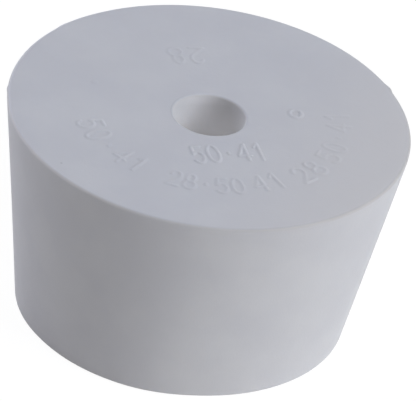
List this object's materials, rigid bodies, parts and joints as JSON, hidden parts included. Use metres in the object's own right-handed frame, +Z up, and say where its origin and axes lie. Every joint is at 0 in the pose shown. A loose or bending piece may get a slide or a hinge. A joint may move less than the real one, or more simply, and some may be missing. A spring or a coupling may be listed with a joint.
{
  "type": "one-hole rubber stopper",
  "caption": "Tapered one-hole rubber stopper: a solid truncated cone with rounded rims and a straight central bore for a tube.",
  "frame": {"origin": "centre of the small end's face, on the bore's axis; the stopper stands on this face", "axes": "+Z up the bore's axis, from the small end to the large end; +X to the right and -Y towards the viewer"},
  "size_m": [0.05, 0.0498, 0.028],
  "materials": {
    "rubber": "matte, pale grey moulded rubber"
  },
  "bodies": {
    "root": {"stopper": "rubber"}
  },
  "joints": []
}
